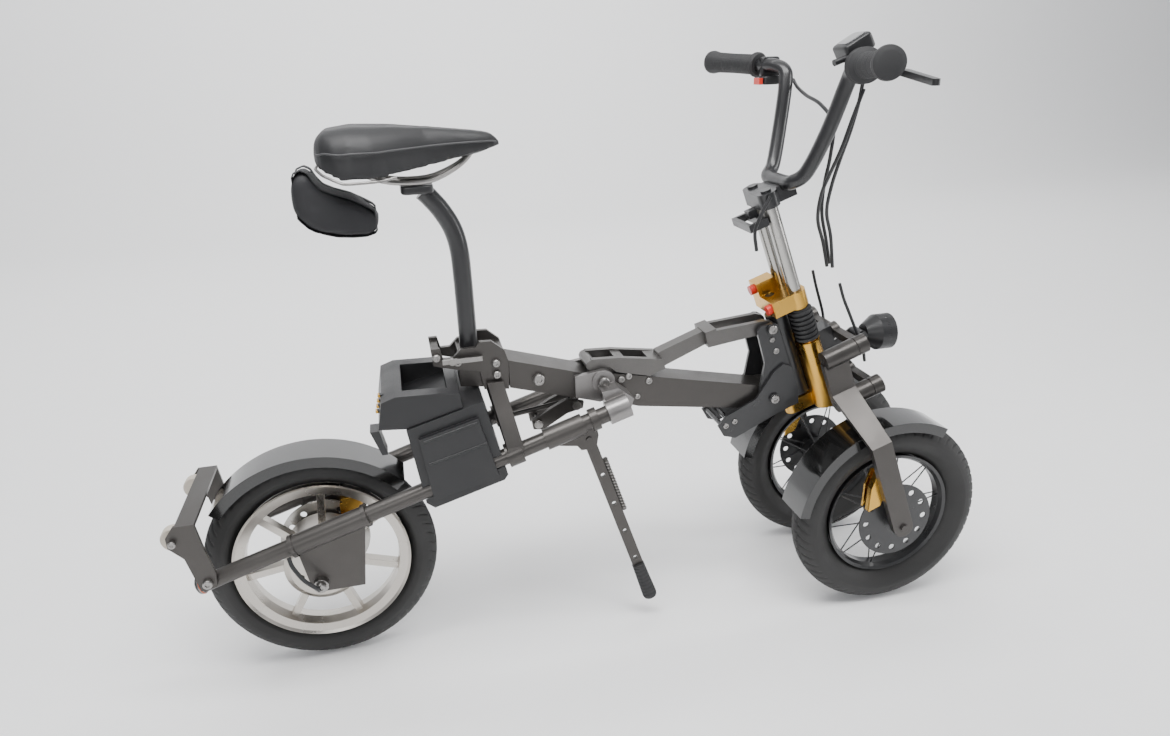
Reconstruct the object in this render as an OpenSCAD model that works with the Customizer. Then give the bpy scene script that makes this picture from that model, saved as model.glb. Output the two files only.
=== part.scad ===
// Folding electric three-wheeler: one driven rear wheel, two leaning and steering front wheels.
// +X forwards, +Y to the rider's left, +Z up, floor at Z = 0. Lengths along X are counted
// from the rear axle, then moved so that the whole box is centred on the origin.

/* [Overall] */
// Distance from the rear axle to the front axles
wheelbase = 911; // [905:1:917]
// Distance between the middles of the two front tyres
front_track = 222; // [220:1:226]

/* [Rear wheel] */
// Outer radius of the rear tyre
rear_tyre_r = 175; // [173:1:176]
// Width of the rear tyre
rear_tyre_w = 50; // [46:1:52]
// Outer radius of the rear rim
rear_rim_r = 133; // [131:1:134]
// Number of cast spokes
rear_spoke_count = 7; // [5, 6, 7]
// Radius of the motor shell in the rear hub
motor_r = 58; // [55:1:60]

/* [Front wheels] */
// Outer radius of a front tyre
front_tyre_r = 163.5; // [162:0.5:164]
// Width of a front tyre
front_tyre_w = 58; // [54:1:60]
// Outer radius of a front rim
front_rim_r = 107; // [105:1:109]
// Number of wire spokes in one front wheel
wire_spoke_count = 20; // [16, 20, 24]
// Radius of a front brake disc
disc_r = 64; // [60:1:66]

/* [Rear frame] */
// Radius of the two long rails
rail_r = 12.5; // [12:0.5:13]
// Sideways distance of each rail from the middle
rail_y = 75; // [74:0.5:76]
// Rise of the rails towards the front, in degrees
rail_slope = 16.9; // [16.5:0.1:17.2]
// Height of the rail above the rear axle
rail_lift = 77; // [76:0.5:78]

/* [Fold] */
// Distance of the fold hinge in front of the rear axle
hinge_x = 452; // [450:1:454]
// Height of the fold hinge
hinge_z = 426; // [424:1:428]
// Radius of the fold hinge pin
hinge_pin_r = 7; // [6:0.5:8]

/* [Seat] */
// Radius of the seatpost
seatpost_r = 13.6; // [12.7:0.1:14]
// Half the width of the saddle
saddle_half_w = 78; // [70:1:85]

/* [Steering] */
// Lean of the steering axis from upright, in degrees
head_tilt = 19.3; // [19:0.1:19.6]
// Sideways distance of each sliding stem tube from the middle
stem_y = 24; // [24:0.5:25]
// Radius of a sliding stem tube
stem_r = 11; // [10:0.5:11.5]
// Sideways distance of the grip ends from the middle
grip_end_y = 279; // [270:1:290]
// Sideways distance of each lean pivot from the middle
lean_y = 80; // [79:0.5:81]

/* [Hidden] */
$fn = 64;
gap = 0.05;
tail_x = -203;
box_middle_x = (tail_x + wheelbase + front_tyre_r) / 2;
wheel_y = front_track / 2;
rail_z = rear_tyre_r + rail_lift;
sleeve_r = 15.5;
head_x = 833;
head_z = 358;
steer_t = -32;
steer_pin_r = 8;
head_tube_r = 17.5;
leg_r = 18;
pivot_high = 80;
pivot_low = 0;
pivot_r = 15.5;
pivot_pin_r = 5;
axle_t = cos(head_tilt) * (wheelbase - head_x) + sin(head_tilt) * (front_tyre_r - head_z);
axle_s = -sin(head_tilt) * (wheelbase - head_x) + cos(head_tilt) * (front_tyre_r - head_z);
blade_out_y = 166;
link_pin = [731, 478];
beam_pin = [738, 360];
motor_cable_route = [[-36, -94, 236], [-32, -99, 222], [-20, -102, 200], [-6, -102, 184], [-2, -96, 175]];
bar_cable_routes = [
    [[815, -104, 846], [816, -96, 820], [812, -86, 780], [806, -74, 740], [803, -60, 700],
        [806, -46, 660], [820, -38, 620], [828, -36, 570]],
    [[815, -108, 838], [800, -110, 800], [790, -104, 760], [783, -88, 722], [784, -66, 690],
        [792, -46, 650], [812, -30, 610], [824, -26, 570]],
    [[815, 104, 846], [806, 70, 836], [796, 20, 826], [794, -30, 815], [797, -64, 790],
        [798, -60, 745], [800, -44, 700], [806, -32, 655], [822, -22, 610], [832, -18, 572]],
    [[712, -48, 690], [700, -48, 668], [690, -47, 640], [694, -46, 610]]
];
steering_cable_routes = [
    [[838, -44, 545], [846, -46, 520], [856, -50, 495], [866, -54, 470], [876, -62, 445],
        [884, -60, 415]],
    [[838, 44, 545], [846, 46, 520], [856, 50, 495], [866, 54, 470], [876, 62, 445], [884, 60, 415]]
];
stand_pivot = [419, 346];
stand_foot = [516, 38];

// ---------- shared placing and shaping ----------

// Counts X from the rear axle
module placed() {
    translate([-box_middle_x, 0, 0]) children();
}

// Extrudes an outline drawn in X and Z from low to high along Y
module side_plate(low, high) {
    translate([0, high, 0]) rotate([90, 0, 0]) linear_extrude(high - low) children();
}

// Round bar between two points
module bar(p, q, r) {
    v = q - p;
    translate(p) rotate([0, acos(v[2] / norm(v)), atan2(v[1], v[0])]) cylinder(r = r, h = norm(v));
}

// Round bar along Y
module cross_bar(x, z, low, high, r) {
    translate([x, low, z]) rotate([-90, 0, 0]) cylinder(r = r, h = high - low);
}

// Frame of one rail: local X runs along the rail
module on_rail(side) {
    translate([0, side * rail_y, rail_z]) rotate([0, -rail_slope, 0]) children();
}

// Round bar along local X
module long_bar(low, high, r) {
    translate([low, 0, 0]) rotate([0, 90, 0]) cylinder(r = r, h = high - low);
}

// Frame of the steering head: local Z runs up the steering axis, local X forwards
module in_head() {
    translate([head_x, 0, head_z]) rotate([0, -head_tilt, 0]) children();
}

// Round bar up the head, from low to high
module head_bar(t, y, low, high, r) {
    translate([t, y, low]) cylinder(r = r, h = high - low);
}

// Outline of two round ends and the straight piece between them
module stadium(half, r) {
    translate([0, half]) circle(r);
    translate([0, -half]) circle(r);
    translate([-r, -half]) square([2 * r, 2 * half]);
}

// Wheel-shaped solid turned about Y from an outline of radius and width
module turned(x, y, z) {
    translate([x, y, z]) rotate([90, 0, 0]) rotate_extrude($fn = 128) children();
}

// Smooth tube through hand-chosen points, with a ring at each point
function unit(v) = v / norm(v);
function route_dir(p, i) = unit(p[min(i + 1, len(p) - 1)] - p[max(i - 1, 0)]);
function route_side(d) = unit(cross(d, abs(d[1]) > 0.9 ? [1, 0, 0] : [0, 1, 0]));
function bend(p, i, f) =
    let (a = p[max(i - 1, 0)], b = p[i], c = p[i + 1], d = p[min(i + 2, len(p) - 1)])
    ((2 * b) + (c - a) * f + (2 * a - 5 * b + 4 * c - d) * f * f
     + (3 * b - a - 3 * c + d) * f * f * f) / 2;
function smooth_route(p, n) = concat(
    [for (i = [0 : len(p) - 2]) for (j = [0 : n - 1]) bend(p, i, j / n)], [p[len(p) - 1]]);
module tube(route, r, steps, sides) {
    p = smooth_route(route, steps);
    n = len(p);
    rings = [for (i = [0 : n - 1]) let (d = route_dir(p, i), u = route_side(d), w = cross(d, u))
        for (k = [0 : sides - 1]) p[i] + r * (cos(360 * k / sides) * u + sin(360 * k / sides) * w)];
    walls = [for (i = [0 : n - 2]) for (k = [0 : sides - 1]) let (m = (k + 1) % sides)
        [i * sides + k, (i + 1) * sides + k, (i + 1) * sides + m, i * sides + m]];
    first_end = [[for (k = [0 : sides - 1]) k]];
    last_end = [[for (k = [0 : sides - 1]) n * sides - 1 - k]];
    polyhedron(points = rings, faces = concat(walls, first_end, last_end));
}

// ---------- rear frame ----------

module rails() {
    color("dimgray") placed() for (side = [-1, 1]) on_rail(side) difference() {
        long_bar(-167, 499, rail_r);
        long_bar(-168, 500, rail_r - 2.5);
    }
}

module axle_sleeves() {
    color("dimgray") placed() for (side = [-1, 1]) difference() {
        union() {
            on_rail(side) long_bar(-34, 84, sleeve_r);
            on_rail(side) long_bar(-34, -28, sleeve_r + 2);
            on_rail(side) long_bar(78, 84, sleeve_r + 2);
            side_plate(side * rail_y - 3, side * rail_y + 3)
                polygon([[-27, 242], [-14, 168], [-6, 160], [62, 160], [76, 274], [20, 262]]);
        }
        on_rail(side) long_bar(-40, 90, rail_r + gap);
        cross_bar(0, rear_tyre_r, side * rail_y - 5, side * rail_y + 5, 6 + gap);
    }
}

module tail_bracket() {
    arm_in = rail_y + rail_r + gap;
    color("dimgray") placed() difference() {
        union() {
            for (side = [0, 1]) mirror([0, side, 0]) side_plate(-arm_in - 5, -arm_in)
                polygon([[-160, 202], [-138, 206], [-136, 228], [-144, 268], [-150, 310], [-178, 310],
                    [-190, 294], [-190, 278], [-172, 258]]);
            translate([-176, -arm_in, 305]) cube([26, 2 * arm_in, 5]);
        }
        for (y = [-110, 70]) cross_bar(-182, 286, y, y + 40, 4 + gap);
    }
}

module trolley_wheel(y) {
    placed() turned(-182, y, 286)
        polygon([[4.05, -8], [17, -8], [18, -6], [18, 6], [17, 8], [4.05, 8]]);
}

module trolley_wheel_right() {
    color("beige") trolley_wheel(-77);
}

module trolley_wheel_left() {
    color("beige") trolley_wheel(77);
}

module seat_block() {
    color("gray") placed() difference() {
        union() {
            for (side = [0, 1]) mirror([0, side, 0]) side_plate(24, 32)
                polygon([[197, 505], [199, 479], [232, 470], [266, 462], [270, 434], [307, 430],
                    [309, 474], [304, 492], [286, 508], [268, 509], [262, 501], [240, 500],
                    [228, 488], [214, 488], [210, 505]]);
            side_plate(-24, 24) polygon([[236, 440], [307, 430], [309, 474], [304, 490], [236, 496]]);
            translate([199, -24, 479]) cube([10, 48, 22]);
        }
        translate([255, 0, 420]) cylinder(r = seatpost_r + gap, h = 100);
    }
}

module seat_struts() {
    color("gray") placed() for (side = [-1, 1]) difference() {
        union() {
            hull() {
                translate([274, side * 37 - 4, 428]) cube([24, 8, 18]);
                translate([291, side * 86 - 4, 352]) cube([24, 8, 8]);
            }
            on_rail(side) long_bar(304, 328, rail_r + 6);
        }
        on_rail(side) long_bar(290, 340, rail_r + gap);
        side_plate(-32.05, 32.05) polygon([[260, 400], [320, 400], [320, 520], [260, 520]]);
    }
}

module rear_beam() {
    color("gray") placed() difference() {
        side_plate(-28, 28) polygon([[309.1, 474], [434, 436], [434, 393], [309.1, 430]]);
        side_plate(-25, 25) polygon([[300, 473], [440, 430.5], [440, 394.8], [300, 436]]);
    }
}

module hinge_bracket() {
    color("lightgray") placed() for (side = [0, 1]) mirror([0, side, 0]) difference() {
        union() {
            side_plate(28.05, 37) polygon([[408, 438], [408, 404], [446, 392], [468, 398], [466, 438],
                [452, 444], [440, 442]]);
            cross_bar(hinge_x, hinge_z, 28.05, 40, 18);
            side_plate(28.05, 68) polygon([[442, 420], [452, 388], [484, 380], [492, 404], [468, 424]]);
            on_rail(1) long_bar(468, 503, rail_r + 5.5);
        }
        on_rail(1) long_bar(460, 499.05, rail_r + gap);
        cross_bar(hinge_x, hinge_z, 0, 60, hinge_pin_r + gap);
    }
}

module link_plate() {
    color("dimgray") placed() {
        for (y = [-20, 12]) difference() {
            side_plate(y, y + 8) polygon([[398, 396], [424, 388], [422, 378], [396, 372], [358, 350],
                [342, 352], [340, 366], [372, 384]]);
            cross_bar(412, 384, y - 1, y + 9, 4.05);
            cross_bar(350, 361, y - 1, y + 9, 4.05);
        }
        bar([306, 0, 372], [396, 0, 384], 4);
        cross_bar(306, 366, -55, 55, 5);
    }
}

module battery_case() {
    color([0.08, 0.08, 0.08]) placed() difference() {
        union() {
            side_plate(-84, 84) polygon([[150, 406], [152, 392], [166, 286], [178, 276], [284, 306],
                [290, 314], [262, 436]]);
            side_plate(-92, 92) polygon([[166, 392], [178, 292], [276, 316], [252, 414]]);
        }
        for (side = [-1, 1]) on_rail(side) long_bar(60, 360, rail_r + 0.8);
        for (side = [-1, 1]) on_rail(side) translate([60, -6, -60]) cube([300, 12, 60]);
        translate([140, -22, 385]) cube([20, 44, 30]);
        side_plate(-46, 46) polygon([[270, 330], [300, 330], [300, 450], [262, 450]]);
    }
}

module battery_handle() {
    color([0.12, 0.12, 0.12]) placed() {
        difference() {
            side_plate(-80, 80) polygon([[112, 410], [149.5, 406.5], [233, 429], [230, 450],
                [200, 455], [140, 457], [120, 450]]);
            side_plate(-56, 56) polygon([[150, 424], [214, 438], [214, 500], [150, 500]]);
        }
        for (i = [0 : 3]) translate([112 + i * 2, -50, 424 + i * 8]) cube([6, 8, 4]);
        side_plate(-70, -40) polygon([[99, 404], [111.9, 404], [120, 366], [112, 366]]);
    }
}

module mudguard_band(inner, thick, half_w, from, to) {
    rotate([0, 0, from]) rotate_extrude(angle = to - from, $fn = 96) difference() {
        union() {
            translate([inner - 14, -half_w]) square([14 + thick, 2 * half_w]);
        }
        translate([inner - 15, -half_w + thick]) square([15, 2 * (half_w - thick)]);
    }
}

module rear_mudguard() {
    color([0.03, 0.03, 0.03]) placed() translate([0, 0, rear_tyre_r]) rotate([90, 0, 0])
        mudguard_band(182, 3, 33, 42, 142);
}

module rear_caliper() {
    color("saddlebrown") placed() {
        translate([30, 44, 205]) cube([34, 4, 31.9]);
        translate([30, 56, 205]) cube([34, 15.9, 31.9]);
        translate([34, 44, 237]) cube([26, 27.9, 8]);
    }
}

module motor_cable() {
    color([0.05, 0.05, 0.05]) placed() tube(motor_cable_route, 3, 3, 8);
}

module bolt_head(x, z, y, h, r) {
    cross_bar(x, z, y, y + h, r);
}

module frame_bolts() {
    color("silver") placed() {
        cross_bar(0, rear_tyre_r, -92, 92, 6);
        cross_bar(hinge_x, hinge_z, -44, 44, hinge_pin_r);
        for (side = [0, 1]) mirror([0, side, 0]) {
            bolt_head(-149, 214, 92.6, 4, 7);
            bolt_head(353, 439, 28.05, 5, 9);
            bolt_head(204, 492, 32.05, 4, 6);
            bolt_head(234, 482, 32.05, 4, 6);
            bolt_head(290, 474, 32.05, 4, 6);
            bolt_head(290, 456, 32.05, 4, 6);
            cross_bar(-182, 286, 60, 98, 4);
            on_rail(1) long_bar(-172, -167.05, rail_r + 1);
            bolt_head(412, 384, 20.05, 4, 7);
            difference() {
                cross_bar(0, rear_tyre_r, 78.1, 87.9, 11);
                cross_bar(0, rear_tyre_r, 70, 90, 6.05);
            }
            bolt_head(350, 361, 20.05, 4, 7);
        }
        cross_bar(412, 384, -20, 20, 4);
        cross_bar(350, 361, -20, 20, 4);
    }
}

module kickstand_clamp() {
    color("gray") placed() difference() {
        union() {
            on_rail(-1) long_bar(366, 428, rail_r + 4);
            on_rail(-1) long_bar(440, 452, rail_r + 5);
            side_plate(-70, -54)
                polygon([[356, 352], [362, 344], [400, 338], [406, 330], [430, 330], [434, 352],
                    [430, 375], [400, 368]]);
        }
        on_rail(-1) long_bar(350, 460, rail_r + gap);
        cross_bar(stand_pivot[0], stand_pivot[1], -71, -53, 5 + gap);
        side_plate(-66, -58) polygon([[340, 334], [408, 359], [440, 360], [440, 318],
            [340, 310]]);
    }
}

module kickstand_leg() {
    v = stand_foot - stand_pivot;
    long = norm(v);
    color("gray") placed() {
        cross_bar(stand_pivot[0], stand_pivot[1], -72, -52, 5);
        translate([stand_pivot[0], -62, stand_pivot[1]]) rotate([0, atan2(-v[1], v[0]), 0]) {
            difference() {
                union() {
                    translate([0, -3.5, -9]) cube([long - 70, 7, 18]);
                    rotate([90, 0, 0]) translate([0, 0, -3.5]) cylinder(r = 10, h = 7);
                }
                rotate([90, 0, 0]) translate([0, 0, -10]) cylinder(r = 5 + gap, h = 20);
                for (i = [0 : 3]) translate([70 + i * 56, -5, 0]) rotate([-90, 0, 0])
                    cylinder(r = 4, h = 10);
            }
            translate([45, 0, 12.5]) rotate([0, 90, 0]) cylinder(r = 3.6, h = 100);
            translate([long - 69.95, 0, 0]) rotate([0, 90, 0]) cylinder(r1 = 9, r2 = 11, h = 69.95);
        }
    }
}

// ---------- rear wheel ----------

module rear_rim() {
    color("silver") placed() {
        turned(0, 0, rear_tyre_r) polygon([[116, -18], [129, -19], [rear_rim_r, -22], [133, -19.5],
            [128, -15], [128, 15], [133, 19.5], [rear_rim_r, 22], [129, 19], [116, 18], [114, 0]]);
        for (i = [0 : rear_spoke_count - 1]) translate([0, 0, rear_tyre_r])
            rotate([0, -85 - i * 360 / rear_spoke_count, 0])
                translate([motor_r + 0.3, -8, -5.5]) cube([116 - motor_r - 1.2, 16, 11]);
    }
}

module hub_motor() {
    color("silver") placed() {
        turned(0, 0, rear_tyre_r) polygon([[6.05, -46], [20, -46], [24, -42], [motor_r - 10, -38],
            [motor_r, -30], [motor_r, 30], [motor_r - 10, 38], [24, 42], [20, 46], [6.05, 46]]);
    }
}

module rear_tyre() {
    wall = rear_tyre_w / 2;
    color([0.04, 0.04, 0.04]) placed() turned(0, 0, rear_tyre_r) difference() {
        union() {
            translate([rear_tyre_r - wall, 0]) circle(wall);
            polygon([[128.1, -11], [134, -18], [152, -24.5], [152, 24.5], [134, 18], [128.1, 11]]);
        }
        translate([rear_tyre_r - wall, 0]) circle(wall - 5);
        translate([100, -40]) square([28.1, 80]);
    }
}

module rear_disc() {
    color("silver") placed() difference() {
        cross_bar(0, rear_tyre_r, 50, 52, 70);
        cross_bar(0, rear_tyre_r, 40, 60, 21);
        for (i = [0 : 11]) translate([0, 0, rear_tyre_r]) rotate([0, i * 30, 0])
            translate([56, 0, 0]) rotate([90, 0, 0]) cylinder(r = 5, h = 140, center = true);
    }
}

// ---------- seat ----------

module seatpost() {
    color([0.06, 0.06, 0.06]) placed() {
        bar([255, 0, 466], [255, 0, 640], seatpost_r);
        translate([255, 0, 640]) sphere(r = seatpost_r + 0.5);
        bar([255, 0, 640], [232, 0, 700], seatpost_r - 0.4);
        translate([232, 0, 700]) sphere(r = seatpost_r + 0.5);
        bar([232, 0, 700], [210, 0, 727], seatpost_r - 0.4);
        translate([180, -26, 725]) cube([46, 52, 13]);
    }
}

module seat_lever() {
    color("silver") placed() {
        cross_bar(226, 486, -44, -38.1, 5);
        translate([212, -43, 483]) cube([58, 4, 7]);
    }
}

module saddle_shell() {
    color("silver") placed() {
        hull() {
            translate([120, 0, 771]) scale([0.5, 1, 1]) cylinder(r = 62, h = 6, $fn = 32);
            translate([288, 0, 777]) cylinder(r = 10, h = 6, $fn = 32);
        }
        for (side = [-1, 1])
            tube([[104, side * 30, 773], [124, side * 28, 764], [150, side * 24, 750],
                [180, side * 22, 743], [220, side * 22, 743], [250, side * 16, 753],
                [272, side * 9, 766], [284, side * 6, 779]], 3.5, 3, 8);
    }
}

module saddle_pad() {
    color([0.1, 0.1, 0.1]) placed() difference() {
        hull() {
            translate([118, 0, 752]) scale([0.6, 1, 1]) cylinder(r = saddle_half_w, h = 50, $fn = 48);
            translate([130, 0, 801]) scale([0.8, 1, 1]) cylinder(r = saddle_half_w - 16, h = 19, $fn = 48);
            translate([302, 0, 776]) cylinder(r = 22, h = 24, $fn = 32);
        }
        hull() {
            translate([118, 0, 740]) scale([0.54, 1, 1]) cylinder(r = 66, h = 41, $fn = 32);
            translate([292, 0, 740]) cylinder(r = 13, h = 49, $fn = 32);
        }
    }
}

module saddle_bag() {
    color([0.05, 0.05, 0.05]) placed() {
        hull() {
            translate([44, -30, 740]) cube([20, 60, 30]);
            translate([38, -38, 712]) cube([28, 76, 24]);
        }
        hull() {
            translate([38, -40, 712]) cube([28, 80, 36]);
            translate([52, -46, 690]) cube([70, 92, 40]);
            translate([90, -40, 676]) cube([58, 80, 36]);
        }
    }
}

// ---------- front half of the frame ----------

module front_beam() {
    color("gray") placed() difference() {
        union() {
            side_plate(-25, 25) polygon([[458, 432], [474, 431], [732, 377], [736, 342], [700, 342],
                [512, 371], [500, 375], [464, 414]]);
            cross_bar(hinge_x, hinge_z, -27.8, 27.8, 16);
            cross_bar(beam_pin[0], beam_pin[1], -27.8, 27.8, 18);
        }
        side_plate(-21, 21) polygon([[490, 422], [710, 376], [710, 346], [514, 376], [492, 396]]);
        cross_bar(hinge_x, hinge_z, -40, 40, hinge_pin_r + gap);
        cross_bar(beam_pin[0], beam_pin[1], -40, 40, 5 + gap);
    }
}

module top_link() {
    color("darkgray") placed() difference() {
        union() {
            cross_bar(437, 449, -27, 27, 8.5);
            for (y = [-27, 17]) side_plate(y, y + 10)
                polygon([[437, 459], [480, 457], [552, 446], [556, 430], [530, 421], [476, 434],
                    [466, 443], [437, 443]]);
            side_plate(-17, 17) polygon([[476, 455], [492, 453], [492, 429], [476, 432]]);
            side_plate(-17, 17) polygon([[530, 448], [552, 446], [556, 430], [530, 420]]);
            side_plate(-11, 11) polygon([[548, 452], [630, 482], [640, 462], [548, 424]]);
            side_plate(-25, 25) polygon([[622, 481], [640, 486], [646, 464], [628, 456]]);
            for (y = [-25, 15]) side_plate(y, y + 10)
                polygon([[622, 481], [724, 490], [731, 488], [735, 470], [628, 456]]);
            for (y = [-25, 15]) cross_bar(link_pin[0], link_pin[1], y, y + 10, 10);
        }
        cross_bar(link_pin[0], link_pin[1], -40, 40, 5 + gap);
    }
}

module head_block() {
    color([0.08, 0.08, 0.08]) placed() {
        difference() {
            union() {
                for (side = [0, 1]) mirror([0, side, 0]) side_plate(28, 34)
                    polygon([[706, 476], [712, 484], [734, 488], [741, 484], [784, 362], [784, 346],
                        [745, 338], [722, 345], [714, 375], [722, 420], [712, 455]]);
                side_plate(-28, 28) polygon([[738, 462], [752, 452], [771, 398], [766, 390],
                    [745, 392]]);
                in_head() head_bar(steer_t, 0, 4, 156, head_tube_r);
            }
            in_head() head_bar(steer_t, 0, -10, 170, steer_pin_r + gap);
            cross_bar(link_pin[0], link_pin[1], -50, 50, 5 + gap);
            cross_bar(beam_pin[0], beam_pin[1], -50, 50, 5 + gap);
        }
    }
}

module lower_bracket() {
    color([0.1, 0.1, 0.1]) placed() {
        for (side = [0, 1]) mirror([0, side, 0]) difference() {
            side_plate(34.05, 39) polygon([[752, 418], [766, 412], [780, 372], [782, 346], [745, 332],
                [672, 298], [652, 304], [642, 322], [655, 338], [706, 362], [735, 405]]);
            cross_bar(beam_pin[0], beam_pin[1], 30, 50, 5 + gap);
        }
        cross_bar(beam_pin[0], beam_pin[1], -39, 39, 5);
        cross_bar(link_pin[0], link_pin[1], -34, 34, 5);
        for (y = [-43, 39.05]) cross_bar(beam_pin[0], beam_pin[1], y, y + 3.95, 9);
        for (y = [-38, 34.05]) cross_bar(link_pin[0], link_pin[1], y, y + 3.95, 9);
        for (p = [[650, 322], [664, 326]]) cross_bar(p[0], p[1], -34, 34, 4);
    }
}

// ---------- steering ----------

module gold_legs() {
    color("goldenrod") placed() in_head() difference() {
        union() {
            translate([0, 0, -2]) linear_extrude(100) stadium(stem_y, leg_r);
            for (y = [-stem_y, stem_y]) head_bar(0, y, 97, 162, 14);
        }
        for (y = [-stem_y, stem_y]) head_bar(0, y, 12, 170, stem_r + gap);
        head_bar(steer_t, 0, -10, 170, head_tube_r + 0.6);
    }
}

module gold_clamps() {
    color("goldenrod") placed() in_head() difference() {
        union() {
            translate([0, 0, -26]) linear_extrude(23.95) {
                stadium(stem_y, leg_r);
                translate([-50, -14]) square([50, 28]);
                translate([steer_t - 18, 0]) circle(14);
            }
            translate([0, 0, 162.05]) linear_extrude(26) {
                stadium(stem_y, 16.5);
                translate([-46, -38]) square([46, 76]);
            }
            translate([-46, 8, 188]) cube([34, 30, 22]);
        }
        head_bar(steer_t, 0, -40, 230, steer_pin_r + gap);
        for (y = [-stem_y, stem_y]) head_bar(0, y, 150, 230, stem_r + gap);
        for (y = [-26, 24]) translate([-54, y, y > 0 ? 198 : 176]) rotate([0, 90, 0])
            cylinder(r = 8.5, h = 20);
    }
}

module bellows() {
    color([0.07, 0.07, 0.07]) placed() in_head() for (y = [-stem_y, stem_y]) translate([0, y, 100])
        difference() {
            union() {
                cylinder(r = 16, h = 58);
                for (i = [0 : 6]) translate([0, 0, 2 + i * 8]) cylinder(r = 19, h = 4.5);
            }
            translate([0, 0, -1]) cylinder(r = 14 + gap, h = 70);
        }
}

module lean_yoke() {
    color([0.1, 0.1, 0.1]) placed() in_head() {
        head_bar(steer_t, 0, -26, 186, steer_pin_r);
        difference() {
            translate([leg_r + 0.05, -16, -18]) cube([28, 32, 116]);
            for (s = [pivot_high, pivot_low]) translate([10, 0, s]) rotate([0, 90, 0])
                cylinder(r = 6, h = 60);
        }
        for (s = [pivot_high, pivot_low]) translate([leg_r + 2, 0, s]) rotate([0, 90, 0])
            cylinder(r = 5.95, h = s > 0 ? 46 : 54);
    }
    color([0.1, 0.1, 0.1]) placed() {
        for (side = [0, 1]) mirror([0, side, 0]) side_plate(14.1, 18)
            polygon([[858, 404], [862, 420], [899, 447], [905, 448], [912, 444], [913, 437],
                [908, 432], [884, 412], [868, 402]]);
        cross_bar(905, 440, -18, 18, 4);
    }
}

module steering_cables() {
    color([0.05, 0.05, 0.05]) placed() for (route = steering_cable_routes) tube(route, 2.5, 3, 8);
}

module release_buttons() {
    color("red") placed() in_head() for (y = [-26, 24])
        translate([-54, y, y > 0 ? 198 : 176]) rotate([0, 90, 0]) cylinder(r = 8, h = 15);
}

module stem_tubes() {
    color("silver") placed() in_head() for (y = [-stem_y, stem_y]) difference() {
        head_bar(0, y, 60, 350, stem_r);
        head_bar(0, y, 50, 340, stem_r - 2);
    }
}

module stem_clamp() {
    color([0.1, 0.1, 0.1]) placed() in_head() {
        difference() {
            union() {
                translate([0, 0, 332]) linear_extrude(24) stadium(stem_y, 16);
                translate([0, -26, 332]) cube([46, 52, 24]);
            }
            for (y = [-stem_y, stem_y]) head_bar(0, y, 320, 350.05, stem_r + gap);
            translate([34, 0, 356]) rotate([90, 0, 0]) cylinder(r = 11.5, h = 80, center = true);
        }
        for (y = [-stem_y, stem_y]) head_bar(0, y, 356.05, 359, 8);
        difference() {
            translate([-44, -34, 308]) cube([31.9, 68, 12]);
            translate([-38, -28, 300]) cube([16, 56, 30]);
        }
        translate([-30, -8, 320.05]) cube([14, 16, 11.9]);
    }
}

function bar_points() = [
    [747.4, 0, 705.2], [747.4, 22, 705.2], [749, 42, 708], [764, 56, 724], [782, 76, 780],
    [796, 92, 840], [798, 102, 860], [790, 122, 868], [780, 156, 869.5], [767, 200, 871.5], [746, 272, 874.7]
];

module handlebar() {
    p = bar_points();
    mirrored = [for (i = [len(p) - 1 : -1 : 1]) [p[i][0], -p[i][1], p[i][2]]];
    color([0.05, 0.05, 0.05]) placed() tube(concat(mirrored, p), 11, 3, 16);
}

grip_dir = [744, grip_end_y, 875] - [790, 122, 868];
module grip_solid(low, high) {
    p = [790, 122, 868];
    difference() {
        bar(p + low * grip_dir, p + high * grip_dir, 17);
        bar(p + (low - 0.1) * grip_dir, p + 0.971 * grip_dir, 11.5);
    }
}

module grip_left() {
    color([0.12, 0.12, 0.12]) placed() grip_solid(0.22, 1);
}

module throttle_grip() {
    color([0.12, 0.12, 0.12]) placed() mirror([0, 1, 0]) grip_solid(0.22, 1);
}

module bar_controls() {
    color([0.1, 0.1, 0.1]) placed() {
        translate([760, -150, 884]) cube([44, 40, 24]);
        difference() {
            translate([770, 118, 838]) cube([30, 26, 14]);
            translate([769, 119.7, 839.7]) cube([2.7, 22.6, 10.6]);
        }
    }
}

module switch_button() {
    color("orangered") placed() translate([764, 120, 840]) cube([5.9, 22, 10]);
}

module bar_cables() {
    color([0.05, 0.05, 0.05]) placed() for (route = bar_cable_routes) tube(route, 2.7, 3, 8);
}

module lever_solid() {
    difference() {
        hull() {
            translate([815, 148, 858]) cylinder(r = 9, h = 8, $fn = 32);
            translate([832, 172, 856]) cylinder(r = 6, h = 8, $fn = 32);
        }
        translate([815, 148, 850]) cylinder(r = 3, h = 30);
    }
    hull() {
        translate([832, 172, 856]) cylinder(r = 6, h = 8, $fn = 32);
        translate([822, 256, 846]) cylinder(r = 5, h = 8, $fn = 32);
    }
}

module brake_lever_left() {
    color([0.08, 0.08, 0.08]) placed() lever_solid();
}

module brake_lever_right() {
    color([0.08, 0.08, 0.08]) placed() mirror([0, 1, 0]) lever_solid();
}

module headlight() {
    color([0.06, 0.06, 0.06]) placed() {
        translate([914, 0, 440]) rotate([0, 90, 0]) cylinder(r1 = 16, r2 = 30, h = 21);
        difference() {
            cross_bar(905, 440, -13.9, 13.9, 9.5);
            cross_bar(905, 440, -20, 20, 4.05);
        }
        translate([935.05, 0, 440]) rotate([0, 90, 0]) cylinder(r = 30, h = 26);
    }
}

// ---------- leaning front ends ----------

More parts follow.
